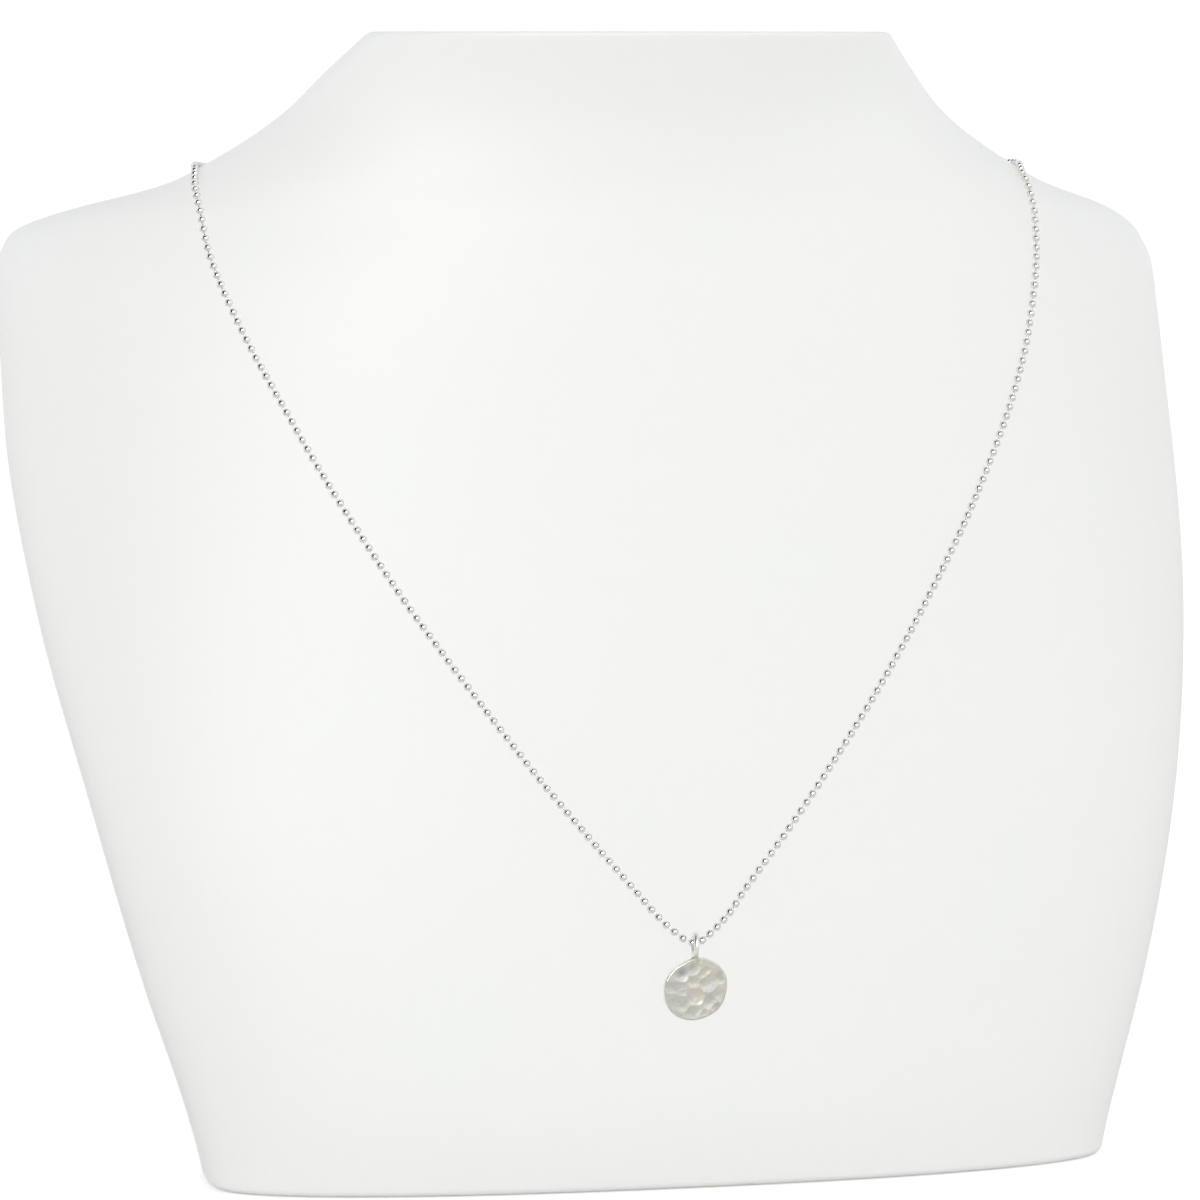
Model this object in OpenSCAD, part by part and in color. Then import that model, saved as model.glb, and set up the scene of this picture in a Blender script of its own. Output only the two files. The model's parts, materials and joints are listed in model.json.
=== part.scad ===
// Fine beaded necklace with a hammered disc pendant, shown on a plain neck bust.
// The bust stands on its flat base with its chest to the front (-Y), +X is to the right
// seen from the front, and the origin is the middle of the floor under the whole.
// Every round-the-bust angle is counted from the middle of the chest, positive towards +X.

/* [Bust] */
// Width across the shoulders
bust_w = 198; // [160:1:240]
// Width of the base
base_w = 148; // [120:1:156]
// Width of the neck at its cut top
neck_w = 86; // [60:1:105]
// Height from the base to the cut top of the neck
bust_h = 183; // [150:1:220]
// Depth from the front of the chest to the back of the shoulders
bust_d = 100; // [80:1:125]

/* [Chain] */
// Diameter of the chain's beads
chain_d = 1.2; // [0.9:0.1:1.6]
// Height of the chain's lowest point, where the pendant hangs
hang_h = 39.5; // [32:0.5:60]
// Distance along a strand over which the pendant's ring holds it off the chest
lift_reach = 7; // [4:0.5:12]
// Gap between the bust and what lies on it
rest_gap = 0.3; // [0.2:0.05:0.5]

/* [Pendant] */
// Diameter of the disc
disc_d = 10; // [8:0.1:14]
// Thickness of the disc
disc_t = 1.2; // [0.9:0.1:1.6]
// Outer diameter of the ring that the chain runs through
ring_d = 4.4; // [4.2:0.1:6]
// Thickness of the ring's wire
ring_wire = 0.8; // [0.6:0.05:0.9]
// Clearance between the chain and the top of the ring's hole
ring_gap = 0.5; // [0.1:0.05:0.6]
// How far the ring's wire is let into the disc's top edge
ring_sink = 0.1; // [0.05:0.05:0.3]
// Diameter of the bead of solder between the ring and the disc
solder_d = 1.6; // [1.3:0.1:1.8]
// Depth of the hammer's dents
dent_depth = 0.12; // [0.05:0.01:0.2]

/* [Clasp] */
// Outer diameter of the clasp's ring
clasp_d = 6; // [5:0.5:8]
// Thickness of the clasp's ring
clasp_wire = 1.2; // [1:0.1:1.6]
// Length of each end cap, from the clasp's ring to the chain
clasp_cap = 2; // [1.5:0.5:4]
// How far an end cap stands out past the chain, all round
clasp_cap_wall = 0.2; // [0.15:0.05:0.3]
// Gap between each end cap and the chain's end
clasp_gap = 0.1; // [0.05:0.05:0.3]

/* [Hidden] */
$fn = 96;

// Sections of the bust from its base up. Heights are shares of bust_h, and the three depths
// shares of bust_d behind the foremost point of the chest. A width is the share of the way
// from base_w to bust_w, or above the shoulders from neck_w to bust_w. The powers shape the
// front and back of the section: 2 is an ellipse, and more is squarer.
// height, width, depth of the widest place, depth of the front, of the back, powers
SECTIONS = [
    [0.000, 0.00, 0.210, 0.015, 0.725, 2.30, 2.3],
    [0.030, 0.05, 0.215, 0.005, 0.735, 2.30, 2.3],
    [0.065, 0.12, 0.220, 0.000, 0.750, 2.30, 2.3],
    [0.165, 0.35, 0.250, 0.015, 0.790, 2.30, 2.3],
    [0.330, 0.66, 0.330, 0.065, 0.850, 2.30, 2.3],
    [0.490, 0.90, 0.490, 0.130, 0.920, 2.30, 2.2],
    [0.655, 1.00, 0.670, 0.190, 0.980, 2.30, 2.1],
    [0.765, 1.00, 0.740, 0.220, 1.000, 2.15, 2.0],
    [0.805, 0.98, 0.760, 0.230, 0.995, 2.06, 2.0],
    [0.825, 0.93, 0.745, 0.233, 0.985, 1.99, 2.0],
    [0.840, 0.82, 0.670, 0.235, 0.970, 1.90, 2.0],
    [0.863, 0.57, 0.560, 0.236, 0.940, 1.85, 2.0],
    [0.890, 0.40, 0.530, 0.233, 0.895, 1.85, 2.0],
    [0.923, 0.24, 0.510, 0.226, 0.845, 1.90, 2.0],
    [0.967, 0.10, 0.470, 0.207, 0.785, 1.96, 2.0],
    [1.000, 0.00, 0.410, 0.190, 0.750, 2.00, 2.0],
];
HEIGHT = 0;
WIDTH = 1;
MIDDLE = 2;
FRONT = 3;
BACK = 4;
FRONT_POWER = 5;
BACK_POWER = 6;
SHOULDER_ROW = 6;
last_row = len(SECTIONS) - 1;
bust_columns = 88;
// Greatest height of a band of the bust's skin; two rows have at least two bands between them
band_h = 6;

// Stations of the chain's two strands, from the pendant up over the shoulders to the nape:
// angle of the left strand, angle of the right one, both counted outwards, and the height,
// as a share of the way from hang_h to the neck's top
ROUTE = [
    [0, 0, 0], [0.5, 0.5, 0.003], [1.2, 1.2, 0.011], [2.3, 2.5, 0.026], [3.9, 4.1, 0.052],
    [7.9, 8.1, 0.114], [12, 12.1, 0.178], [15.9, 16.1, 0.244], [19.7, 19.9, 0.310],
    [23.5, 23.6, 0.377], [27.1, 27.3, 0.445], [30.8, 30.9, 0.515], [34.6, 34.5, 0.586],
    [38.4, 37.6, 0.646], [40.7, 39.3, 0.683], [42.7, 40.8, 0.718], [44.8, 42.5, 0.748],
    [47.3, 44.8, 0.773], [53.2, 50.3, 0.795], [61.8, 57.7, 0.812], [71.2, 65.3, 0.825],
    [78.2, 70.4, 0.834], [85, 76.4, 0.841], [93, 85.5, 0.8445], [103, 98, 0.844],
    [115, 112, 0.8405], [127, 126, 0.8365], [140, 140, 0.834], [153, 153, 0.8325],
];
LEFT = 0;
RIGHT = 1;
SHARE = 2;
NAPE_SHARE = 0.832;
tube_sides = 8;
// A span of the route longer than this gets a ring of the tube at its middle too
long_span = 8;

// Hammer dents on the disc's face: across, up, and radius, in shares of the disc's radius
DENTS = [
    [-0.02, 0.22, 0.26], [0.48, 0.17, 0.32], [0.02, -0.22, 0.30], [-0.46, 0.06, 0.28],
    [-0.42, -0.40, 0.26], [0.36, -0.50, 0.26], [-0.05, -0.68, 0.24], [-0.40, 0.55, 0.26],
    [0.30, 0.62, 0.25], [0.74, -0.28, 0.22],
];
// Flats on the disc's rim: direction seen from the front, and depth as a share of its radius
RIM_FLATS = [[-52, 0.05], [128, 0.07]];

// Half width of section row i in mm
function half_width(i) = let (end_w = i <= SHOULDER_ROW ? base_w : neck_w)
    (end_w + SECTIONS[i][WIDTH] * (bust_w - end_w)) / 2;

sections = [
    for (i = [0 : last_row]) let (s = SECTIONS[i]) [
        s[HEIGHT] * bust_h, half_width(i), s[MIDDLE] * bust_d, s[FRONT] * bust_d,
        s[BACK] * bust_d, s[FRONT_POWER], s[BACK_POWER]
    ]
];

// Slope of column c between rows i and i + 1
function slope(c, i) = (sections[i + 1][c] - sections[i][c])
    / (sections[i + 1][HEIGHT] - sections[i][HEIGHT]);

// Slope of column c at row i: none at a peak, else the mean of the slopes below and above,
// where the nearer row counts for more
function row_slope(c, i) =
    i == 0 ? slope(c, 0)
    : i == last_row ? slope(c, last_row - 1)
    : let (
            below = slope(c, i - 1),
            above = slope(c, i),
            step_below = sections[i][HEIGHT] - sections[i - 1][HEIGHT],
            step_above = sections[i + 1][HEIGHT] - sections[i][HEIGHT]
        ) below * above <= 0 ? 0
        : (below * step_above + above * step_below) / (step_below + step_above);

// Column c at height z, on a cubic curve through the rows
function at_height(c, z) = let (
        i = max([for (k = [0 : last_row - 1]) if (k == 0 || sections[k][HEIGHT] <= z) k]),
        h = sections[i + 1][HEIGHT] - sections[i][HEIGHT],
        u = (z - sections[i][HEIGHT]) / h
    )
    (2 * pow(u, 3) - 3 * pow(u, 2) + 1) * sections[i][c]
    + (pow(u, 3) - 2 * pow(u, 2) + u) * h * row_slope(c, i)
    + (3 * pow(u, 2) - 2 * pow(u, 3)) * sections[i + 1][c]
    + (pow(u, 3) - pow(u, 2)) * h * row_slope(c, i + 1);

function section_at(z) = [for (c = [HEIGHT : BACK_POWER]) c == HEIGHT ? z : at_height(c, z)];

// Point of a section at an angle round the bust
function section_point(s, angle) = let (
        front = cos(angle) >= 0,
        power = 2 / s[front ? FRONT_POWER : BACK_POWER],
        depth = s[front ? FRONT : BACK] - s[MIDDLE]
    ) [
        s[WIDTH] * sign(sin(angle)) * pow(abs(sin(angle)), power),
        s[MIDDLE] + depth * pow(abs(cos(angle)), power),
        s[HEIGHT]
    ];

function bust_point(angle, z) = section_point(section_at(z), angle);

function unit(v) = v / norm(v);

// Outward normal of the bust, from two short steps on its surface
function bust_normal(angle, z) = let (
        step_angle = 0.5,
        step_z = 0.1,
        round = bust_point(angle + step_angle, z) - bust_point(angle - step_angle, z),
        up = bust_point(angle, z + step_z) - bust_point(angle, z - step_z)
    ) unit(cross(round, up));

// Height of a place on the route, from its share
function route_z(share) = hang_h + share * (bust_h - hang_h);

// Centre of the chain where it lies on the bust
function lying_point(angle, share) =
    bust_point(angle, route_z(share))
    + (chain_d / 2 + rest_gap) * bust_normal(angle, route_z(share));

// Places of the pendant below the chain's lowest point
ring_drop = ring_d / 2 - ring_wire - ring_gap - chain_d / 2;
disc_drop = ring_drop + ring_d / 2 - ring_sink + disc_d / 2;

// The chain's lowest point, far enough out for the ring and the disc to clear the chest
hang_y = min(
    bust_point(0, hang_h - ring_drop)[1] - ring_d / 2,
    bust_point(0, hang_h - disc_drop - disc_d / 2)[1] - disc_t / 2
) - rest_gap;
hang_point = [0, hang_y, hang_h];

// Depth of the middle of everything, which the origin lies under
middle_y = (hang_y - ring_d / 2 + bust_d) / 2;

// The ring pulls the chain off the chest, by less the further a point is from it
ring_pull = hang_point - lying_point(0, 0);
function held_point(angle, share) = let (
        lying = lying_point(angle, share),
        far = norm([lying[0], lying[2] - hang_h])
    ) lying + exp(-pow(far / lift_reach, 2)) * ring_pull;

// The last station of each strand lets the clasp in between the two
nape_z = route_z(NAPE_SHARE);
clasp_reach = clasp_d / 2 + clasp_cap;
clasp_cap_d = chain_d + 2 * clasp_cap_wall;
nape_angle = 180 - asin((clasp_reach + clasp_gap) / section_at(nape_z)[WIDTH]);
strand = concat(ROUTE, [[nape_angle, nape_angle, NAPE_SHARE]]);
last_station = len(strand) - 1;
last_span = 2 * last_station - 1;

// The whole route, up the left strand's far end first: each station's angle and share
route = [
    for (i = [-last_station : last_station]) let (s = strand[abs(i)])
        [i < 0 ? -s[LEFT] : s[RIGHT], s[SHARE]]
];
route_points = [for (s = route) held_point(s[0], s[1])];
route_normals = [for (s = route) bust_normal(s[0], route_z(s[1]))];
spans = [for (i = [0 : last_span]) norm(route_points[i + 1] - route_points[i])];
function chord(i) = (route_points[i + 1] - route_points[i]) / spans[i];

// Heading of the route at station i; both ends run straight into the clasp along X
function heading(i) =
    i == 0 || i > last_span ? [-1, 0, 0]
    : (chord(i - 1) * spans[i] + chord(i) * spans[i - 1]) / (spans[i - 1] + spans[i]);

// Middle of span i on a cubic curve through its two stations
function span_middle(i) = (route_points[i] + route_points[i + 1]) / 2
    + spans[i] / 8 * (heading(i) - heading(i + 1));

// Where the tube has its rings: the centre, and the bust's normal there
ring_places = [
    for (i = [0 : last_span]) each concat(
        [[route_points[i], route_normals[i]]],
        spans[i] > long_span
            ? [[span_middle(i), unit(route_normals[i] + route_normals[i + 1])]] : []
    ),
    [route_points[last_span + 1], route_normals[last_span + 1]]
];
last_ring = len(ring_places) - 1;
chain_end = ring_places[last_ring][0];

// One ring of the chain's tube, set square to it, with a corner towards the bust's normal
function chain_ring(i) = let (
        centre = ring_places[i][0],
        along = i == 0 || i == last_ring ? [-1, 0, 0]
            : unit(ring_places[i + 1][0] - ring_places[i - 1][0]),
        side = unit(cross(along, ring_places[i][1])),
        out = cross(side, along)
    ) [
        for (k = [0 : tube_sides - 1]) let (turn = 360 * k / tube_sides)
            centre + chain_d / 2 * (cos(turn) * out + sin(turn) * side)
    ];

// Faces of a skin over rows of points, closed round each row and capped at both ends
function skin_faces(rows, columns) = concat(
    [[for (j = [0 : columns - 1]) j]],
    [for (i = [0 : rows - 2], j = [0 : columns - 1]) let (
            next = (j + 1) % columns,
            low = i * columns,
            high = low + columns
        ) each [[low + j, high + j, high + next], [low + j, high + next, low + next]]],
    [[for (j = [columns - 1 : -1 : 0]) (rows - 1) * columns + j]]
);

module skin(rows) {
    columns = len(rows[0]);
    polyhedron(points = [for (r = rows) each r], faces = skin_faces(len(rows), columns));
}

// Everything is worked out from the front of the chest and set over the origin here
module in_place() {
    translate([0, -middle_y, 0]) children();
}

// White covered bust: a closed skin through the sections, flat at its base and cut neck
module neck_bust() {
    levels = [
        for (i = [0 : last_row - 1]) let (
                low = sections[i][HEIGHT],
                step = sections[i + 1][HEIGHT] - low,
                bands = max(2, ceil(step / band_h))
            ) for (k = [0 : bands - 1]) low + step * k / bands,
        bust_h
    ];
    color("whitesmoke") in_place() skin([
        for (z = levels) let (s = section_at(z))
            [for (j = [0 : bust_columns - 1]) section_point(s, 360 * j / bust_columns)]
    ]);
}

// Bead chain as one tube round the whole loop, open at the nape where the clasp sits
module bead_chain() {
    color("silver") in_place() skin([for (i = [0 : last_ring]) chain_ring(i)]);
}

// Plain clasp lying on the nape: a ring with an end cap on each side for the chain
module clasp() {
    normal = bust_normal(180, nape_z);
    tilt = atan2(normal[2], normal[1]);
    wire_r = (clasp_d - clasp_wire) / 2;
    color("silver") in_place() translate([0, chain_end[1], chain_end[2]]) {
        rotate([tilt - 90, 0, 0]) wire_ring(clasp_d, clasp_wire);
        for (side = [-1, 1])
            translate([side * wire_r, 0, 0]) rotate([0, side * 90, 0])
                cylinder(h = chain_end[0] - clasp_gap - wire_r, d = clasp_cap_d);
    }
}

// Round ring of wire about the Z axis
module wire_ring(outer_d, wire_d) {
    rotate_extrude() translate([(outer_d - wire_d) / 2, 0]) circle(d = wire_d);
}

// Radius of the ball that leaves a dent of a given radius, dent_depth deep
function dent_ball(dent_r) = (pow(dent_r, 2) + pow(dent_depth, 2)) / (2 * dent_depth);

// Disc about the Y axis with a fully rounded rim, dented on its face and flattened in places
module hammered_disc() {
    disc_r = disc_d / 2;
    rim_r = disc_t / 2;
    difference() {
        rotate([90, 0, 0]) rotate_extrude() {
            translate([0, -rim_r]) square([disc_r - rim_r, disc_t]);
            intersection() {
                translate([disc_r - rim_r, 0]) circle(d = disc_t);
                translate([disc_r - rim_r, -rim_r]) square([disc_t, disc_t]);
            }
        }
        for (d = DENTS) let (ball_r = dent_ball(d[2] * disc_r))
            translate([d[0] * disc_r, dent_depth - rim_r - ball_r, d[1] * disc_r])
                sphere(r = ball_r);
        for (f = RIM_FLATS)
            rotate([0, -f[0], 0]) translate([disc_r * (1 - f[1]), -disc_t, -disc_r])
                cube([disc_r, 2 * disc_t, disc_d]);
    }
}

// Disc with its ring soldered to its top edge; the ring stands square to the disc
module disc_pendant() {
    color("lightgray") in_place() translate(hang_point) {
        translate([0, 0, -ring_drop]) rotate([0, 90, 0]) wire_ring(ring_d, ring_wire);
        translate([0, 0, -disc_drop]) hammered_disc();
        translate([0, 0, disc_d / 2 - disc_drop]) sphere(d = solder_d);
    }
}

neck_bust();
bead_chain();
clasp();
disc_pendant();
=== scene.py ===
"""Looks of a fine bead chain with a hammered disc pendant on a white neck bust.

Lengths in the tables are in millimetres and become metres in the meshes. Every round-the-bust
angle is counted from the middle of the chest, positive towards +X, as the frame's shape is.
"""

import json
import math

import bpy
import numpy as np
from mathutils import Matrix, Vector

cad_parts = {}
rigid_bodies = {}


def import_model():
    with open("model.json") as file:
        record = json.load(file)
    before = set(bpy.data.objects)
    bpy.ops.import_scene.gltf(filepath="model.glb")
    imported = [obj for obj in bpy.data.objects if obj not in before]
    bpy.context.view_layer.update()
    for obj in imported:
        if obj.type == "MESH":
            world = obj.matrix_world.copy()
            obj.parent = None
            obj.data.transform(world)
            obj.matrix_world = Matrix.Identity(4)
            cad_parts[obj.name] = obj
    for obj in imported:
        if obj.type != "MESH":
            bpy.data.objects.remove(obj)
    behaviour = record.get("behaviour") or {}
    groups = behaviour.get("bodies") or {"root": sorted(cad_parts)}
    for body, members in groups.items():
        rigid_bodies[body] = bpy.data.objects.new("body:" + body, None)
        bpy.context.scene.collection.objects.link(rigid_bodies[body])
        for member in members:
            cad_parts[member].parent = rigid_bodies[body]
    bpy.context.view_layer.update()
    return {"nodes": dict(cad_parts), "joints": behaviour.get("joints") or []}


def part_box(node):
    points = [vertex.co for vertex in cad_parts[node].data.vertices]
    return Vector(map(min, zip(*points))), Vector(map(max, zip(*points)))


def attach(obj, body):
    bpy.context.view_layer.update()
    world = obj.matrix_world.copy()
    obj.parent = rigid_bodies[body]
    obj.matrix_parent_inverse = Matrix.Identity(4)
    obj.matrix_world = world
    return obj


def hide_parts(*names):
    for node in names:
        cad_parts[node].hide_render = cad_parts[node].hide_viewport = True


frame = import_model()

MM = 0.001
scene = bpy.context.scene
scene.view_settings.view_transform = "Standard"

# The photograph's view: the camera's bearing, its distance from the pendant's hanging point,
# where that point is in the 1200 pixel frame, and the pixels to a millimetre there
AZIMUTH = math.radians(-14)
ELEVATION = math.radians(5)
DISTANCE = 1.0
FRAME_SIZE = 1200
HANG_ACROSS = 695
HANG_DOWN = 943
PIXELS_PER_MM = 6.33
SENSOR = 36

hang = np.array(frame["joints"][0]["pos_m"]) / MM


def bearing(azimuth, elevation):
    """Unit vector from the pendant towards a place at that bearing: it starts towards -Y, turns
    by azimuth about Z and is raised by elevation."""
    return np.array([
        math.sin(azimuth) * math.cos(elevation),
        -math.cos(azimuth) * math.cos(elevation),
        math.sin(elevation),
    ])


def make_camera():
    """Camera on the photograph's line of sight, moved across and up so that the hanging point
    falls on its pixel."""
    back = bearing(AZIMUTH, ELEVATION)
    right = np.array([math.cos(AZIMUTH), math.sin(AZIMUTH), 0])
    up = np.cross(back, right)
    across = (FRAME_SIZE / 2 - HANG_ACROSS) / PIXELS_PER_MM
    rise = (HANG_DOWN - FRAME_SIZE / 2) / PIXELS_PER_MM
    place = (hang + across * right + rise * up) * MM + back * DISTANCE
    lens = bpy.data.cameras.new("photograph_camera")
    lens.sensor_width = SENSOR
    lens.lens = SENSOR * PIXELS_PER_MM / MM * DISTANCE / FRAME_SIZE
    lens.clip_start = 0.01
    lens.clip_end = 100
    camera = bpy.data.objects.new("photograph_camera", lens)
    camera.matrix_world = Matrix((
        (right[0], up[0], back[0], place[0]),
        (right[1], up[1], back[1], place[1]),
        (right[2], up[2], back[2], place[2]),
        (0, 0, 0, 1),
    ))
    scene.collection.objects.link(camera)
    scene.camera = camera


make_camera()

# Sizes taken from the frame
bust_low, bust_high = (np.array(corner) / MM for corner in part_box("neck_bust"))
bust_w, bust_d, bust_h = bust_high - bust_low
front_y = bust_low[1]
hang_h = hang[2]

# Sizes that the frame's source gives
BASE_W = 148
NECK_W = 86
CHAIN_D = 1.2
LIFT_REACH = 7
REST_GAP = 0.1
DISC_D = 10
DISC_T = 1.2
RING_D = 4.4
RING_WIRE = 0.8
RING_GAP = 0.5
RING_SINK = 0.1
DENT_DEPTH = 0.16
CLASP_REACH = 5
CLASP_GAP = 0.1

# The ring's middle and the disc's are this far under the hanging point
ring_drop = RING_D / 2 - RING_WIRE - RING_GAP - CHAIN_D / 2
disc_drop = ring_drop + RING_D / 2 - RING_SINK + DISC_D / 2

# Sections of the bust: height, width, depth of the widest place, of the front, of the back,
# and the powers of the front and back outline, as in the frame's source
SECTIONS = np.array([
    [0.000, 0.00, 0.210, 0.015, 0.725, 2.30, 2.3],
    [0.030, 0.05, 0.215, 0.005, 0.735, 2.30, 2.3],
    [0.065, 0.12, 0.220, 0.000, 0.750, 2.30, 2.3],
    [0.165, 0.35, 0.250, 0.015, 0.790, 2.30, 2.3],
    [0.330, 0.66, 0.330, 0.065, 0.850, 2.30, 2.3],
    [0.490, 0.90, 0.490, 0.130, 0.920, 2.30, 2.2],
    [0.655, 1.00, 0.670, 0.190, 0.980, 2.30, 2.1],
    [0.765, 1.00, 0.740, 0.220, 1.000, 2.15, 2.0],
    [0.805, 0.98, 0.760, 0.230, 0.995, 2.06, 2.0],
    [0.825, 0.93, 0.745, 0.233, 0.985, 1.99, 2.0],
    [0.840, 0.82, 0.670, 0.235, 0.970, 1.90, 2.0],
    [0.863, 0.57, 0.560, 0.236, 0.940, 1.85, 2.0],
    [0.890, 0.40, 0.530, 0.233, 0.895, 1.85, 2.0],
    [0.923, 0.24, 0.510, 0.226, 0.845, 1.90, 2.0],
    [0.967, 0.10, 0.470, 0.207, 0.785, 1.96, 2.0],
    [1.000, 0.00, 0.410, 0.190, 0.750, 2.00, 2.0],
])
SHOULDER_ROW = 6

# Stations of the chain: angle of the left strand, of the right one, and the height's share
ROUTE = np.array([
    [0, 0, 0], [0.5, 0.5, 0.003], [1.2, 1.2, 0.011], [2.3, 2.5, 0.026], [3.9, 4.1, 0.052],
    [7.9, 8.1, 0.114], [12, 12.1, 0.178], [15.9, 16.1, 0.244], [19.7, 19.9, 0.310],
    [23.5, 23.6, 0.377], [27.1, 27.3, 0.445], [30.8, 30.9, 0.515], [34.6, 34.5, 0.586],
    [38.4, 37.6, 0.646], [40.7, 39.3, 0.683], [42.7, 40.8, 0.718], [44.8, 42.5, 0.748],
    [47.3, 44.8, 0.773], [53.2, 50.3, 0.795], [61.8, 57.7, 0.812], [71.2, 65.3, 0.825],
    [78.2, 70.4, 0.834], [85, 76.4, 0.841], [93, 85.5, 0.8445], [103, 98, 0.844],
    [115, 112, 0.8405], [127, 126, 0.8365], [140, 140, 0.834], [153, 153, 0.8325],
])
NAPE_SHARE = 0.832

# Hammer dents: across, up and radius, in shares of the disc's radius, and depth as a share of
# the deepest
DENTS = np.array([
    [-0.03, -0.20, 0.30, 0.90], [0.46, 0.18, 0.30, 1.00], [0.00, 0.30, 0.20, 0.45],
    [-0.47, 0.50, 0.26, 1.00], [0.30, 0.52, 0.18, 0.70], [-0.10, 0.72, 0.20, 0.40],
    [0.80, 0.34, 0.20, 0.55], [-0.46, 0.04, 0.26, 0.55], [-0.80, 0.05, 0.18, 0.45],
    [-0.50, -0.40, 0.28, 0.50], [-0.05, -0.66, 0.26, 0.55], [0.40, -0.42, 0.24, 0.70],
    [0.76, -0.20, 0.22, 0.55], [0.62, -0.62, 0.14, 0.60], [0.28, -0.80, 0.14, 0.40],
])

# Tones on the disc's face, one of them a painted shadow just under the ring and solder: across and
# up, in shares of the disc's radius, how far the tone reaches in millimetres, its strength at the
# middle and its colour
FACE_TONES_AND_SHADOW = [
    (0.06, 0.86, 1.7, 0.8, "#D9D6C0"), (-0.44, 0.56, 1.2, 0.8, "#A3A2AA"),
    # The first tone on the next line, bluish grey just under the ring and solder, is a painted
    # shadow of them
    (-0.12, 0.74, 0.8, 0.6, "#B4B8C0"), (0.80, 0.36, 1.2, 0.6, "#B2B8BC"),
    (0.72, -0.20, 1.1, 0.5, "#E0DCC4"), (-0.84, -0.30, 1.2, 0.4, "#BFC2C2"),
]

# The disc's outline: how many waves go round it, how far each stands out in millimetres, and
# the angle of its first crest
RIM_WAVES = np.array([
    [0, 0.1, 0], [1, 0.08, 44], [2, 0.23, 32], [3, 0.05, 63],
    [4, 0.026, 54], [5, 0.046, 20], [6, 0.04, 30],
])


def through_rows(heights, values, at):
    """Cubic curve through a table's rows. Its slope at a row is none at a peak, else the mean of
    the slopes below and above, where the nearer row counts for more."""
    steps = np.diff(heights)
    slopes = np.diff(values) / steps
    inner = (slopes[:-1] * steps[1:] + slopes[1:] * steps[:-1]) / (steps[:-1] + steps[1:])
    inner = np.where(slopes[:-1] * slopes[1:] <= 0, 0, inner)
    tilts = np.concatenate([slopes[:1], inner, slopes[-1:]])
    i = np.clip(np.searchsorted(heights, at, side="right") - 1, 0, len(steps) - 1)
    h = steps[i]
    u = (at - heights[i]) / h
    return (
        (2 * u**3 - 3 * u**2 + 1) * values[i] + (u**3 - 2 * u**2 + u) * h * tilts[i]
        + (3 * u**2 - 2 * u**3) * values[i + 1] + (u**3 - u**2) * h * tilts[i + 1]
    )


end_widths = np.where(np.arange(len(SECTIONS)) <= SHOULDER_ROW, BASE_W, NECK_W)
section_heights = SECTIONS[:, 0] * bust_h
section_values = np.column_stack([
    (end_widths + SECTIONS[:, 1] * (bust_w - end_widths)) / 2,
    front_y + SECTIONS[:, 2:5] * bust_d,
    SECTIONS[:, 5:],
])


def bust_point(angle, z, inset=0):
    """Point of the bust: an oval whose half width, middle, front, back and two powers follow the
    table up the bust. Across it is the half width times sin(angle) to the power 2/p, and deep
    it is the middle plus the front's or back's reach times cos(angle) to the power 2/p."""
    angle, z, inset = np.broadcast_arrays(np.radians(angle), z, inset)
    half, middle, front, back, front_power, back_power = (
        through_rows(section_heights, column, z) for column in section_values.T
    )
    ahead = np.cos(angle) >= 0
    power = 2 / np.where(ahead, front_power, back_power)
    reach = np.where(ahead, front - middle + inset, back - middle - inset)
    across = (half - inset) * np.sign(np.sin(angle)) * np.abs(np.sin(angle)) ** power
    deep = middle + reach * np.abs(np.cos(angle)) ** power
    return np.stack([across, deep, z], -1)


def unit(vectors):
    """Vectors scaled to length one."""
    return vectors / np.linalg.norm(vectors, axis=-1, keepdims=True)


def bust_normal(angle, z):
    """Outward normal of the bust: the cross product of a short step round and a short step up."""
    turn = 0.5
    rise = 0.1
    round_step = bust_point(angle + turn, z) - bust_point(angle - turn, z)
    up_step = bust_point(angle, z + rise) - bust_point(angle, z - rise)
    return unit(np.cross(round_step, up_step))


def skin(points, poles=None):
    """Closed skin over a grid of points, joined round each row. Without poles the last row joins
    the first, as on a ring; with poles each end row closes on its pole. The faces are turned
    round where the volume they hold comes out below nothing, so they always point outwards."""
    rows, columns = points.shape[:2]
    low = np.arange(rows if poles is None else rows - 1)[:, None] * columns
    high = (low + columns) % (rows * columns)
    here = np.arange(columns)[None, :]
    beside = (here + 1) % columns
    quads = np.stack([low + here, low + beside, high + beside, high + here], -1).reshape(-1, 4)
    vertices = points.reshape(-1, 3)
    faces = [quads]
    if poles is not None:
        start = len(vertices)
        vertices = np.vstack([vertices, poles])
        here, beside = here[0], beside[0]
        last = start - columns
        faces.append(np.stack([np.full(columns, start), beside, here], -1))
        faces.append(np.stack([np.full(columns, start + 1), last + here, last + beside], -1))
    volume = 0
    for f in faces:
        for k in range(1, f.shape[1] - 1):
            a, b, c = vertices[f[:, 0]], vertices[f[:, k]], vertices[f[:, k + 1]]
            volume += np.einsum("ij,ij->", a, np.cross(b, c))
    if volume < 0:
        faces = [f[:, ::-1] for f in faces]
    return vertices, faces


def repeated(shape, places, axes):
    """Copies of a small shape: each copy's points are its place plus the shape's three
    coordinates along its own three axes."""
    vertices, faces = shape
    copies = places[:, None, :] + np.einsum("vk,nkc->nvc", vertices, axes)
    shift = np.arange(len(places))[:, None, None] * len(vertices)
    return copies.reshape(-1, 3), [(f[None] + shift).reshape(-1, f.shape[1]) for f in faces]


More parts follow.
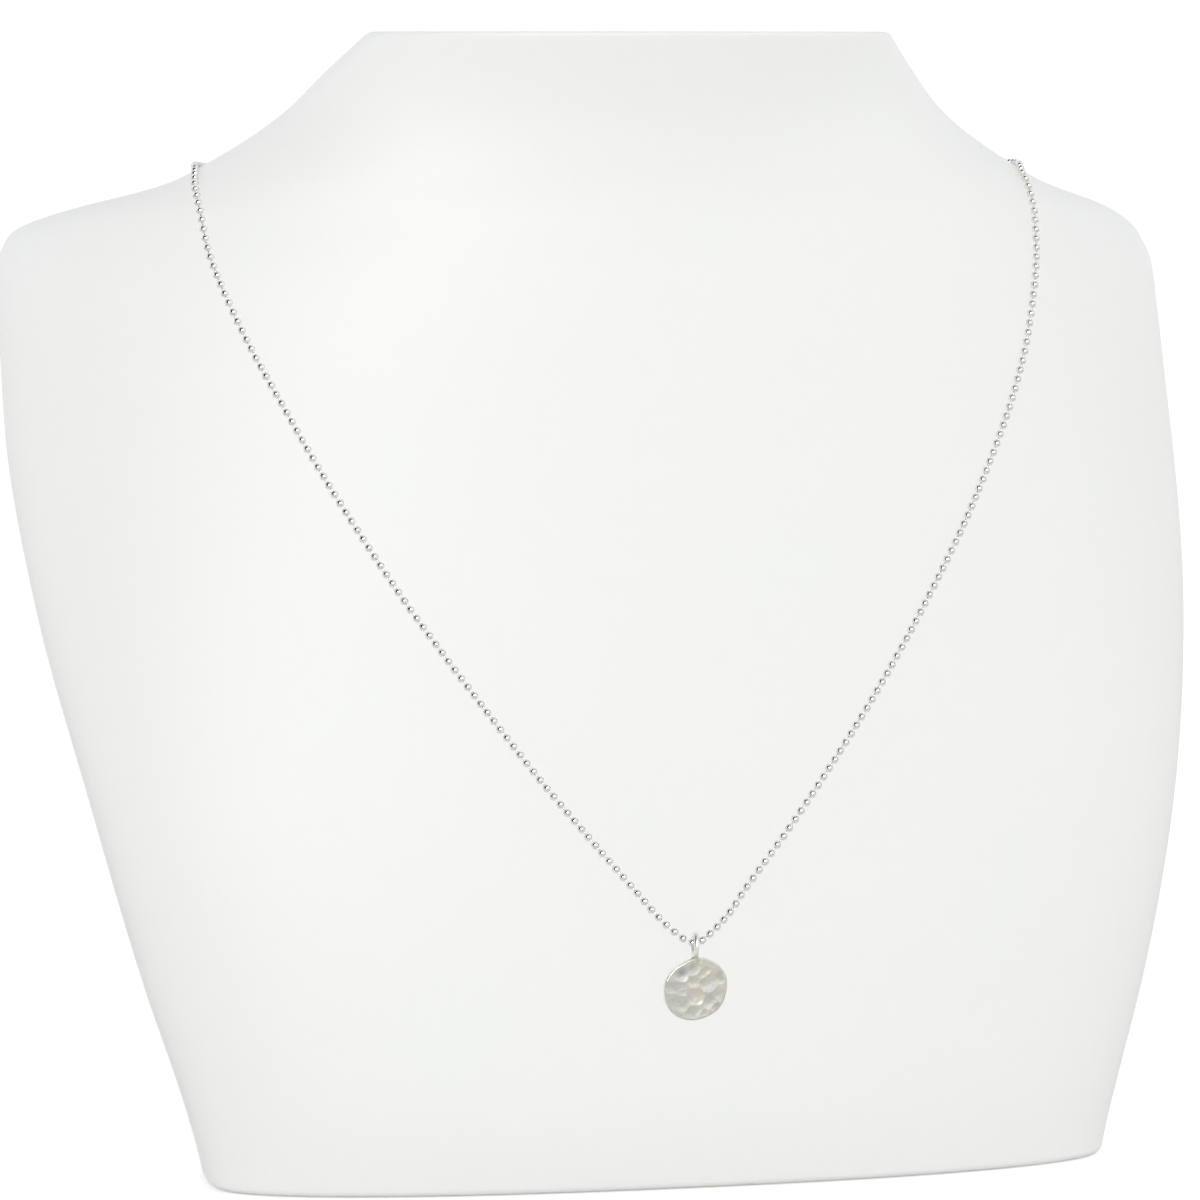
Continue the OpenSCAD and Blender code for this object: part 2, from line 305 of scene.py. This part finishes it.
def make_piece(name, shapes, material, smooth=True):
    """One mesh object at the origin from several closed skins, in metres."""
    vertices = np.vstack([shape[0] for shape in shapes]) * MM
    faces = []
    shift = 0
    for shape in shapes:
        for f in shape[1]:
            faces += (f + shift).tolist()
        shift += len(shape[0])
    mesh = bpy.data.meshes.new(name)
    mesh.from_pydata(vertices.tolist(), [], faces)
    mesh.polygons.foreach_set("use_smooth", np.full(len(faces), smooth))
    mesh.materials.append(material)
    mesh.update()
    piece = bpy.data.objects.new(name, mesh)
    scene.collection.objects.link(piece)
    return piece


def colour(hex_code):
    """An sRGB hex colour as linear RGBA."""
    channels = np.array([int(hex_code[i : i + 2], 16) for i in (1, 3, 5)]) / 255
    curve = ((channels + 0.055) / 1.055) ** 2.4
    return (*np.where(channels <= 0.04045, channels / 12.92, curve), 1.0)


def add(tree, kind, inputs=None, **settings):
    """Adds a node. Settings are its own options, and each input is named, or numbered, with the
    value it holds or the output that is linked to it."""
    made = tree.nodes.new(kind)
    for name, value in settings.items():
        setattr(made, name, value)
    for key, value in (inputs or {}).items():
        if isinstance(value, bpy.types.NodeSocket):
            tree.links.new(value, made.inputs[key])
        else:
            made.inputs[key].default_value = value
    return made


def start_material(name):
    """A new material, its node tree and its shader."""
    made = bpy.data.materials.new(name)
    made.use_nodes = True
    return made, made.node_tree, made.node_tree.nodes["Principled BSDF"]


def white_leatherette():
    """White leatherette: a thin vinyl skin, embossed with a fine pebble grain and drawn over a
    hard form. The eye sees an almost even white with a faint satin sheen, grain only just
    visible, and fine upright creases where it is drawn round the side of the chest."""
    made, tree, shader = start_material("white_leatherette")
    place = add(tree, "ShaderNodeTexCoord").outputs["Object"]
    pebble_mm = 0.7
    pebble_depth_mm = 0.02
    crease_mm = 0.55
    crease_length_mm = 9
    crease_depth_mm = 0.06
    patch_mm = 30
    patches = add(tree, "ShaderNodeTexNoise", {
        "Vector": place, "Scale": 1 / (patch_mm * MM), "Detail": 1,
    })
    tint = add(tree, "ShaderNodeMix", {
        0: patches.outputs["Fac"], 6: colour("#F2F2EF"), 7: colour("#EFF1F0"),
    }, data_type="RGBA")
    tree.links.new(tint.outputs[2], shader.inputs["Base Color"])
    shader.inputs["Roughness"].default_value = 0.5
    pebbles = add(tree, "ShaderNodeTexVoronoi", {"Vector": place, "Scale": 1 / (pebble_mm * MM)})
    drawn = add(tree, "ShaderNodeMapping", {
        "Vector": place,
        "Rotation": (0, math.radians(8), 0),
        "Scale": (1 / (crease_mm * MM), 1 / (crease_mm * MM), 1 / (crease_length_mm * MM)),
    })
    creases = add(tree, "ShaderNodeTexNoise", {
        "Vector": drawn.outputs[0], "Scale": 1, "Detail": 0,
    })
    parts = add(tree, "ShaderNodeSeparateXYZ", {0: place})
    aside = add(tree, "ShaderNodeMath", {0: parts.outputs["X"]}, operation="ABSOLUTE")
    side = add(tree, "ShaderNodeMapRange", {
        "Value": aside.outputs[0], "From Min": 80 * MM, "From Max": 96 * MM,
        "To Max": crease_depth_mm,
    }, interpolation_type="SMOOTHSTEP")
    furrows = add(tree, "ShaderNodeMath", {
        0: creases.outputs["Fac"], 1: side.outputs[0],
    }, operation="MULTIPLY")
    height = add(tree, "ShaderNodeMath", {
        0: pebbles.outputs["Distance"], 1: -pebble_depth_mm, 2: furrows.outputs[0],
    }, operation="MULTIPLY_ADD")
    grain = add(tree, "ShaderNodeBump", {
        "Strength": 1, "Distance": MM, "Height": height.outputs[0],
    })
    tree.links.new(grain.outputs[0], shader.inputs["Normal"])
    return made


def polished_silver():
    """Sterling silver beads, rolled, cut and tumbled to a polish. The eye sees a small bright
    picture of the studio on each bead: dark ring, white spark and a light lower edge."""
    made, tree, shader = start_material("polished_silver")
    shader.inputs["Metallic"].default_value = 1
    shader.inputs["Base Color"].default_value = colour("#ECEAE5")
    place = add(tree, "ShaderNodeTexCoord").outputs["Object"]
    tarnish = add(tree, "ShaderNodeTexNoise", {"Vector": place, "Scale": 1 / (1.5 * MM)})
    rough = add(tree, "ShaderNodeMapRange", {
        "Value": tarnish.outputs["Fac"], "To Min": 0.05, "To Max": 0.2,
    })
    tree.links.new(rough.outputs[0], shader.inputs["Roughness"])
    return made


def hammered_silver():
    """Sterling silver, hammered on its face and left satin, with the rim and the ring burnished.
    The eye sees soft warm greys that change from dent to dent, fine pits, a brighter edge and
    ring, a yellower tone where the solder has flowed, bluish-grey patches at listed places, and a
    painted shadow, bluish grey, just under the ring and solder."""
    made, tree, shader = start_material("hammered_silver")
    shader.inputs["Metallic"].default_value = 1
    coordinates = add(tree, "ShaderNodeTexCoord")
    place = coordinates.outputs["Object"]
    cloud_mm = 2.2
    # Coarser and deeper than the real pits, which are too fine to show
    pit_mm = 0.65
    pit_depth_mm = 0.06
    stray_mm = 1.2
    solder_z = (hang_h - disc_drop + DISC_D / 2) * MM
    cloud = add(tree, "ShaderNodeTexNoise", {
        "Vector": place, "Scale": 1 / (cloud_mm * MM), "Detail": 5, "Roughness": 0.65,
    })
    clear = add(tree, "ShaderNodeMapRange", {
        "Value": cloud.outputs["Fac"], "From Min": 0.35, "From Max": 0.65,
    })
    silver = add(tree, "ShaderNodeMix", {
        0: clear.outputs[0], 6: colour("#E0DCCD"), 7: colour("#C9CAC6"),
    }, data_type="RGBA")
    uneven = add(tree, "ShaderNodeVectorMath", {
        0: cloud.outputs["Color"], 1: (stray_mm * MM,) * 3, 2: place,
    }, operation="MULTIPLY_ADD")
    tone = silver
    # One of these tones is a painted shadow just under the ring and solder
    for across, up, reach_mm, strength, hex_code in FACE_TONES_AND_SHADOW:
        middle = hang + [across * DISC_D / 2, -DISC_T / 2, up * DISC_D / 2 - disc_drop]
        middle = (middle + stray_mm / 2) * MM
        away = add(tree, "ShaderNodeVectorMath", {
            0: uneven.outputs[0], 1: tuple(middle),
        }, operation="DISTANCE")
        near = add(tree, "ShaderNodeMapRange", {
            "Value": away.outputs["Value"], "From Max": reach_mm * MM,
            "To Min": strength, "To Max": 0,
        }, interpolation_type="SMOOTHSTEP")
        tone = add(tree, "ShaderNodeMix", {
            0: near.outputs[0], 6: tone.outputs[2], 7: colour(hex_code),
        }, data_type="RGBA")
    facing = add(tree, "ShaderNodeSeparateXYZ", {0: coordinates.outputs["Normal"]})
    ahead = add(tree, "ShaderNodeMath", {0: facing.outputs["Y"]}, operation="ABSOLUTE")
    rim = add(tree, "ShaderNodeMapRange", {
        "Value": ahead.outputs[0], "From Min": 0.55, "From Max": 0.9, "To Min": 1, "To Max": 0,
    }, interpolation_type="SMOOTHSTEP")
    parts = add(tree, "ShaderNodeSeparateXYZ", {0: place})
    ring = add(tree, "ShaderNodeMapRange", {
        "Value": parts.outputs["Z"],
        "From Min": solder_z + 0.2 * MM, "From Max": solder_z + 1.0 * MM,
    }, interpolation_type="SMOOTHSTEP")
    burnished_rough = 0.34
    burnished = add(tree, "ShaderNodeMath", {
        0: rim.outputs[0], 1: ring.outputs[0],
    }, operation="MAXIMUM")
    bright = add(tree, "ShaderNodeMix", {
        0: burnished.outputs[0], 6: tone.outputs[2], 7: colour("#F8F6F1"),
    }, data_type="RGBA")
    tree.links.new(bright.outputs[2], shader.inputs["Base Color"])
    satin = add(tree, "ShaderNodeMapRange", {
        "Value": cloud.outputs["Fac"], "To Min": 0.25, "To Max": 0.4,
    })
    rough = add(tree, "ShaderNodeMix", {
        0: burnished.outputs[0], 2: satin.outputs[0], 3: burnished_rough,
    }, data_type="FLOAT")
    tree.links.new(rough.outputs[0], shader.inputs["Roughness"])
    pits = add(tree, "ShaderNodeTexNoise", {
        "Vector": place, "Scale": 1 / (pit_mm * MM), "Detail": 3,
    })
    bump = add(tree, "ShaderNodeBump", {
        "Strength": 1, "Distance": pit_depth_mm * MM, "Height": pits.outputs["Fac"],
    })
    tree.links.new(bump.outputs[0], shader.inputs["Normal"])
    return made


def make_bust(material):
    """The bust's skin: rows up the sections, drawn in along a quarter circle at the base and the
    neck, and closed by rings that shrink to the middle of each flat end."""
    columns = 384
    base_r = 1.2
    neck_r = 0.8
    angles = np.arange(columns) * 360 / columns
    bend = np.linspace(0, math.pi / 2, 7)[:-1]
    base_z = base_r * (1 - np.cos(bend))
    base_in = base_r * (1 - np.sin(bend))
    neck_z = bust_h - neck_r * (1 - np.cos(bend))[::-1]
    neck_in = neck_r * (1 - np.sin(bend))[::-1]
    middle_z = np.linspace(base_r, bust_h - neck_r, 186)
    heights = np.concatenate([base_z, middle_z, neck_z])
    insets = np.concatenate([base_in, np.zeros(len(middle_z)), neck_in])
    rows = bust_point(angles[None, :], heights[:, None], insets[:, None])
    shares = np.array([0.985, 0.9, 0.7, 0.4, 0.15])[:, None, None]
    poles = np.array([
        [0, front_y + SECTIONS[end, 2] * bust_d, SECTIONS[end, 0] * bust_h] for end in (0, -1)
    ])
    base_cap = poles[0] + shares[::-1] * (rows[0] - poles[0])
    neck_cap = poles[1] + shares * (rows[-1] - poles[1])
    return make_piece("bust_cover", [skin(np.concatenate([base_cap, rows, neck_cap]), poles)],
                      material)


def chain_line():
    """Dense points along both strands from the pendant to the nape, as two lines. Each station
    lies on the bust, off it by the chain's radius and the gap, and is pulled to the pendant's
    hanging point by less the further it is. A cubic curve joins the stations."""
    nape_z = hang_h + NAPE_SHARE * (bust_h - hang_h)
    nape_half = through_rows(section_heights, section_values[:, 0], np.array(nape_z))
    nape_angle = 180 - math.degrees(math.asin((CLASP_REACH + CLASP_GAP) / nape_half))
    stations = np.vstack([ROUTE, [nape_angle, nape_angle, NAPE_SHARE]])
    angles = np.concatenate([-stations[:0:-1, 0], stations[:, 1]])
    shares = np.concatenate([stations[:0:-1, 2], stations[:, 2]])
    z = hang_h + shares * (bust_h - hang_h)
    points = bust_point(angles, z) + (CHAIN_D / 2 + REST_GAP) * bust_normal(angles, z)
    centre = len(ROUTE)
    far = np.hypot(points[:, 0], points[:, 2] - hang_h)
    pull = hang - points[centre]
    points = points + np.exp(-((far / LIFT_REACH) ** 2))[:, None] * pull
    spans = np.linalg.norm(np.diff(points, axis=0), axis=1)[:, None]
    chords = np.diff(points, axis=0) / spans
    inner = (chords[:-1] * spans[1:] + chords[1:] * spans[:-1]) / (spans[:-1] + spans[1:])
    level = np.array([[-1.0, 0, 0]])
    headings = np.concatenate([level, inner, level])
    u = np.linspace(0, 1, 40, endpoint=False)[None, :, None]
    a, b = points[:-1, None, :], points[1:, None, :]
    ta, tb = (headings[:-1] * spans)[:, None, :], (headings[1:] * spans)[:, None, :]
    dense = (
        (2 * u**3 - 3 * u**2 + 1) * a + (u**3 - 2 * u**2 + u) * ta
        + (3 * u**2 - 2 * u**3) * b + (u**3 - u**2) * tb
    )
    line = np.vstack([dense.reshape(-1, 3), points[-1:]])
    middle = centre * u.shape[1]
    return line[middle::-1], line[middle:]


def bead_places(left, right, pitch, shift):
    """Bead centres at even steps along the whole chain, counted from shift beyond its lowest
    point, and the chain's two ends, where the last links go into the clasp."""
    line = np.vstack([left[:0:-1], right])
    lengths = np.concatenate([[0], np.cumsum(np.linalg.norm(np.diff(line, axis=0), axis=1))])
    lengths -= lengths[len(left) - 1] + shift
    first = math.ceil(lengths[0] / pitch + 0.4)
    last = math.floor(lengths[-1] / pitch - 0.4)
    at = np.arange(first, last + 1) * pitch
    centres = np.stack([np.interp(at, lengths, line[:, k]) for k in range(3)], -1)
    return centres, line[0], line[-1]


def make_chain(material):
    """Every bead is a small ball in staggered rows about its hole, turned by a random amount,
    and a straight wire link joins each bead to the next."""
    pitch = 1.69
    shift = -0.4
    bead_r = 0.66
    link_r = 0.15
    columns = 8
    rng = np.random.default_rng(7)
    centres, left_end, right_end = bead_places(*chain_line(), pitch, shift)
    along = unit(np.gradient(centres, axis=0))
    side = unit(np.cross(along, np.array([0.3, 0.2, 1.0])))
    over = np.cross(along, side)
    roll = rng.uniform(0, 2 * math.pi, len(centres))[:, None]
    axes = np.stack([
        np.cos(roll) * side + np.sin(roll) * over, np.cos(roll) * over - np.sin(roll) * side, along,
    ], 1)
    tilts = np.radians(np.array([-58, -30, 0, 30, 58]))
    stagger = np.array([0, 0.5, 0, 0.5, 0])
    turns = (np.arange(columns)[None, :] + stagger[:, None]) * 2 * math.pi / columns
    ball = bead_r * np.stack([
        np.cos(tilts)[:, None] * np.cos(turns),
        np.cos(tilts)[:, None] * np.sin(turns),
        np.sin(tilts)[:, None] + 0 * turns,
    ], -1)
    ends = bead_r * np.array([[0, 0, -1], [0, 0, 1]])
    beads = repeated(skin(ball, ends), centres, axes)
    knots = np.vstack([left_end, centres, right_end])
    steps = np.diff(knots, axis=0)
    run = unit(steps)
    half = np.linalg.norm(steps, axis=1) / 2 - 0.4 * bead_r
    half[[0, -1]] = np.linalg.norm(steps[[0, -1]], axis=1) / 2
    turns = np.arange(6)[None, :] * math.pi / 3
    reach = np.array([-1, 1])[:, None]
    rod = np.stack([
        link_r * np.cos(turns) + 0 * reach, link_r * np.sin(turns) + 0 * reach, reach + 0 * turns,
    ], -1)
    rod_side = unit(np.cross(run, np.array([0.3, 0.2, 1.0])))
    rod_axes = np.stack([rod_side, np.cross(run, rod_side), run * half[:, None]], 1)
    rod_ends = np.array([[0, 0, -1], [0, 0, 1]])
    links = repeated(skin(rod, rod_ends), (knots[:-1] + knots[1:]) / 2, rod_axes)
    return make_piece("ball_chain", [beads, links], material)


def softest(values, softness):
    """Greatest of several fields with its creases rounded: softness times the log of the sum of
    each field's exponential, over softness."""
    peak = values.max(0)
    return peak + softness * np.log(np.exp((values - peak) / softness).sum(0))


def disc_outline(turn):
    """Radius of the disc's outline at an angle: its circle plus waves, the largest of which
    makes it a slanting oval."""
    waves = [
        height * np.cos(count * (turn - math.radians(crest))) for count, height, crest in RIM_WAVES
    ]
    return DISC_D / 2 + sum(waves)


def dent_field(across, up, dents):
    """How deep the hammer has gone at a place: the deepest there of the dents' hollows, each its
    own depth times 1 minus the square of the distance over its radius. The place is first
    carried off by slow waves, which makes the hollows uneven."""
    x = across / (DISC_D / 2)
    y = up / (DISC_D / 2)
    warp_x = x + 0.05 * np.sin(5.1 * y + 0.4)
    warp_y = y + 0.05 * np.sin(4.7 * x + 2.1)
    hollows = np.array([
        d[3] * (1 - ((warp_x - d[0]) ** 2 + (warp_y - d[1]) ** 2) / d[2] ** 2) for d in dents
    ])
    flat = np.zeros((1, *across.shape)) - 0.1
    return DENT_DEPTH * softest(np.concatenate([hollows, flat]), 0.08)


def make_disc():
    """The disc as a skin from the middle of its face out to the rim, round it and back to the
    middle of its back. The face and back are sunk by the hammer's dents, and the rim is a
    quarter circle at each corner, rounder at the lower right."""
    columns = 288
    half = DISC_T / 2
    corner_r = 0.25
    rounder_by = 0.25
    rounder_at = math.radians(-52)
    turn = np.arange(columns)[None, :] * 2 * math.pi / columns
    edge = disc_outline(turn)
    corner = corner_r + rounder_by * np.exp(4 * (np.cos(turn - rounder_at) - 1))
    spread = np.linspace(0, 1, 73)[1:, None] ** 0.9
    bend = np.linspace(0, math.pi / 2, 9)[1:, None]
    flat_reach = (edge - corner) * spread
    arc_reach = edge - corner + corner * np.sin(bend)
    arc_depth = half - corner + corner * np.cos(bend)
    reach = np.concatenate([flat_reach, arc_reach, arc_reach[-2::-1], flat_reach[::-1]])
    depth = np.concatenate([
        half + 0 * flat_reach, arc_depth + 0 * turn, -arc_depth[-2::-1] + 0 * turn,
        -half + 0 * flat_reach,
    ])
    across, up = reach * np.cos(turn), reach * np.sin(turn)
    rng = np.random.default_rng(11)
    back_dents = np.column_stack([
        rng.uniform(-0.75, 0.75, (14, 2)), rng.uniform(0.22, 0.32, 14), rng.uniform(0.4, 0.9, 14),
    ])
    waves = sum(
        0.0015 * np.sin(k[0] * across + k[1] * up + k[2])
        for k in rng.uniform([-4, -4, 0], [4, 4, 6.28], (14, 3))
    )
    share = np.abs(depth) / half
    sink = np.where(
        depth > 0, dent_field(across, up, DENTS), dent_field(across, up, back_dents),
    )
    sink = (sink + waves) * np.clip(share * 2 - 1, 0, 1)
    outwards = depth - np.sign(depth) * np.maximum(sink, -0.01)
    points = np.stack([across, -outwards, up], -1)
    middles = np.zeros((2, 3))
    middles[0, 1] = points[0, :, 1].mean()
    middles[1, 1] = points[-1, :, 1].mean()
    return skin(points, middles)


def make_ring():
    """The wire ring: a circle of wire carried round a larger circle that stands across the disc,
    turned a few degrees about the vertical."""
    yaw = math.radians(-5)
    rows = 144
    columns = 28
    around = np.arange(rows)[:, None] * 2 * math.pi / rows
    about = np.arange(columns)[None, :] * 2 * math.pi / columns
    wire_r = RING_WIRE / 2
    reach = RING_D / 2 - wire_r + wire_r * np.cos(about)
    out = reach * np.cos(around)
    side = wire_r * np.sin(about) + 0 * around
    return np.stack([
        side * math.cos(yaw) + out * math.sin(yaw),
        side * math.sin(yaw) - out * math.cos(yaw),
        reach * np.sin(around),
    ], -1)


def make_solder():
    """The solder: ovals stacked up from a low point on the disc's face to the ring's wire, whose
    half width and half depth follow a table."""
    table = np.array([
        [-1.05, 0.00, 0.50], [-0.95, 0.42, 0.60], [-0.70, 0.74, 0.665], [-0.35, 0.90, 0.72],
        [0.00, 0.84, 0.76], [0.20, 0.64, 0.80], [0.40, 0.50, 0.86], [0.60, 0.44, 0.80],
        [0.74, 0.26, 0.50], [0.78, 0.00, 0.00],
    ])
    rows = 48
    columns = 64
    z = np.linspace(table[0, 0], table[-1, 0], rows)[1:-1]
    wide = through_rows(table[:, 0], table[:, 1], z)[:, None]
    deep = through_rows(table[:, 0], table[:, 2], z)[:, None]
    turn = np.arange(columns)[None, :] * 2 * math.pi / columns
    points = np.stack([wide * np.cos(turn), deep * np.sin(turn), z[:, None] + 0 * turn], -1)
    return points, np.array([[0, 0, table[0, 0]], [0, 0, table[-1, 0]]])


def moved(shape, step):
    """A skin moved by a step."""
    return shape[0] + step, shape[1]


def make_pendant(material):
    """Disc, ring and solder, joined into one solid by two unions."""
    disc = make_piece("disc_pendant_looks", [
        moved(make_disc(), hang - [0, 0, disc_drop]),
    ], material)
    tools = [
        moved(skin(make_ring()), hang - [0, 0, ring_drop]),
        moved(skin(*make_solder()), hang - [0, 0, disc_drop - DISC_D / 2]),
    ]
    for number, shape in enumerate(tools):
        tool = make_piece(f"join_{number}", [shape], material)
        union = disc.modifiers.new("join", "BOOLEAN")
        union.operation = "UNION"
        union.solver = "EXACT"
        union.object = tool
    joined = bpy.data.meshes.new_from_object(
        disc.evaluated_get(bpy.context.evaluated_depsgraph_get())
    )
    disc.modifiers.clear()
    disc.data = joined
    for number in range(len(tools)):
        bpy.data.objects.remove(bpy.data.objects[f"join_{number}"])
    joined.set_sharp_from_angle(angle=math.radians(50))
    return disc


def light_table():
    """White light table: opal acrylic, evenly lit from below. The eye sees a plain white plane
    that darkens softly where the bust stands on it; what it sends on to the bust and the silver
    is less, as from a table whose lamps stand behind."""
    made, tree, shader = start_material("opal_acrylic")
    place = add(tree, "ShaderNodeTexCoord").outputs["Object"]
    frost_mm = 0.8
    seen_glow = 0.42
    sent_glow = 0.05
    frost = add(tree, "ShaderNodeTexNoise", {"Vector": place, "Scale": 1 / (frost_mm * MM)})
    rough = add(tree, "ShaderNodeMapRange", {
        "Value": frost.outputs["Fac"], "To Min": 0.5, "To Max": 0.7,
    })
    tree.links.new(rough.outputs[0], shader.inputs["Roughness"])
    rays = add(tree, "ShaderNodeLightPath")
    glow = add(tree, "ShaderNodeMapRange", {
        "Value": rays.outputs["Is Camera Ray"], "To Min": sent_glow, "To Max": seen_glow,
    })
    shader.inputs["Base Color"].default_value = colour("#E2E2E0")
    shader.inputs["Emission Color"].default_value = (1, 1, 1, 1)
    tree.links.new(glow.outputs[0], shader.inputs["Emission Strength"])
    return made


def make_floor():
    """Round table top, a hair under the base so that the two don't share a plane."""
    columns = 96
    drop = 0.1
    thick = 20
    turn = np.arange(columns)[None, :] * 2 * math.pi / columns
    reach = np.array([400, 3000])[:, None]
    points = np.stack([reach * np.cos(turn), reach * np.sin(turn), 0 * reach * turn - drop], -1)
    low = points[::-1] - np.array([0, 0, thick])
    middles = np.array([[0, 0, -drop], [0, 0, -drop - thick]])
    shape = skin(np.concatenate([points, low]), middles)
    floor = make_piece("floor", [shape], light_table(), smooth=False)


def make_world():
    """Soft light from all round behind a plain white backdrop, stronger from the front, from
    low down and from the left. What the silver mirrors is a white tent with dim sides and a
    dark opening at its front left: the brightness follows the cosine of the angle from the
    opening, and how far a direction leans to the front or back."""
    lean_way = (-0.42, -0.29, -1.16)
    slant_share = 0.9
    level = 1.56
    opening = bearing(math.radians(-50), math.radians(36))
    backdrop = 1.05
    world = bpy.data.worlds.new("studio")
    scene.world = world
    world.use_nodes = True
    # No map of the world's light is made, so each kind of ray finds its own brightness
    world.cycles.sampling_method = "NONE"
    tree = world.node_tree
    tree.nodes.clear()
    way = add(tree, "ShaderNodeTexCoord").outputs["Generated"]
    parts = add(tree, "ShaderNodeSeparateXYZ", {0: way})
    lean = add(tree, "ShaderNodeVectorMath", {
        0: way, 1: lean_way,
    }, operation="DOT_PRODUCT")
    slant = add(tree, "ShaderNodeMath", {
        0: parts.outputs["X"], 1: parts.outputs["Z"],
    }, operation="MULTIPLY")
    leaning = add(tree, "ShaderNodeMath", {
        0: slant.outputs[0], 1: slant_share, 2: lean.outputs["Value"],
    }, operation="MULTIPLY_ADD")
    soft = add(tree, "ShaderNodeMath", {0: leaning.outputs[0], 1: level}, operation="ADD")
    near = add(tree, "ShaderNodeVectorMath", {0: way, 1: tuple(opening)}, operation="DOT_PRODUCT")
    tent = add(tree, "ShaderNodeMapRange", {
        "Value": near.outputs["Value"], "From Min": 0.45, "From Max": 0.90,
        "To Min": 1.25, "To Max": 0.04,
    }, interpolation_type="SMOOTHSTEP")
    depth = add(tree, "ShaderNodeMath", {0: parts.outputs["Y"]}, operation="ABSOLUTE")
    sides = add(tree, "ShaderNodeMapRange", {
        "Value": depth.outputs[0], "From Min": 0.0, "From Max": 0.3, "To Min": 0.25, "To Max": 1,
    }, interpolation_type="SMOOTHSTEP")
    walls = add(tree, "ShaderNodeMath", {
        0: tent.outputs[0], 1: sides.outputs[0],
    }, operation="MULTIPLY")
    height = add(tree, "ShaderNodeMapRange", {
        "Value": parts.outputs["Z"], "From Min": -0.3, "From Max": 0.3,
    })
    room = add(tree, "ShaderNodeMix", {
        0: height.outputs[0], 6: colour("#FFF9EE"), 7: colour("#F4F7FF"),
    }, data_type="RGBA")
    rays = add(tree, "ShaderNodeLightPath")
    even = add(tree, "ShaderNodeBackground", {"Color": (1, 1, 1, 1), "Strength": soft.outputs[0]})
    mirrored = add(tree, "ShaderNodeBackground", {
        "Color": room.outputs[2], "Strength": walls.outputs[0],
    })
    white = add(tree, "ShaderNodeBackground", {"Color": (1, 1, 1, 1), "Strength": backdrop})
    lit = add(tree, "ShaderNodeMixShader", {
        0: rays.outputs["Is Glossy Ray"], 1: even.outputs[0], 2: mirrored.outputs[0],
    })
    seen = add(tree, "ShaderNodeMixShader", {
        0: rays.outputs["Is Camera Ray"], 1: lit.outputs[0], 2: white.outputs[0],
    })
    add(tree, "ShaderNodeOutputWorld", {"Surface": seen.outputs[0]})


def make_softbox(name, azimuth, elevation, distance, size, power):
    """Square area light at a bearing from the pendant, facing it; the camera doesn't see it."""
    light = bpy.data.lights.new(name, "AREA")
    light.size = size
    light.energy = power
    lamp = bpy.data.objects.new(name, light)
    towards = Vector(bearing(math.radians(azimuth), math.radians(elevation)))
    lamp.location = Vector(hang * MM) + distance * towards
    lamp.rotation_euler = towards.to_track_quat("Z", "Y").to_euler()
    lamp.visible_camera = False
    lamp.visible_diffuse = False
    scene.collection.objects.link(lamp)


leatherette = white_leatherette()
chain_silver = polished_silver()
pendant_silver = hammered_silver()

bust = make_bust(leatherette)
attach(bust, "bust")
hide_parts("neck_bust")

# The photograph shows no shadow of the chain or the pendant on the bust
chain = make_chain(chain_silver)
chain.visible_diffuse = False
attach(chain, "bust")
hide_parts("bead_chain")

pendant = make_pendant(pendant_silver)
pendant.visible_diffuse = False
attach(pendant, "pendant")
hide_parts("disc_pendant")

# The clasp keeps the frame's own shape and takes the chain's silver
clasp = frame["nodes"]["clasp"]
clasp.data.materials.clear()
clasp.data.materials.append(chain_silver)

make_floor()
make_world()
make_softbox("softbox_front", -18, 24, 1.6, 0.7, 13)
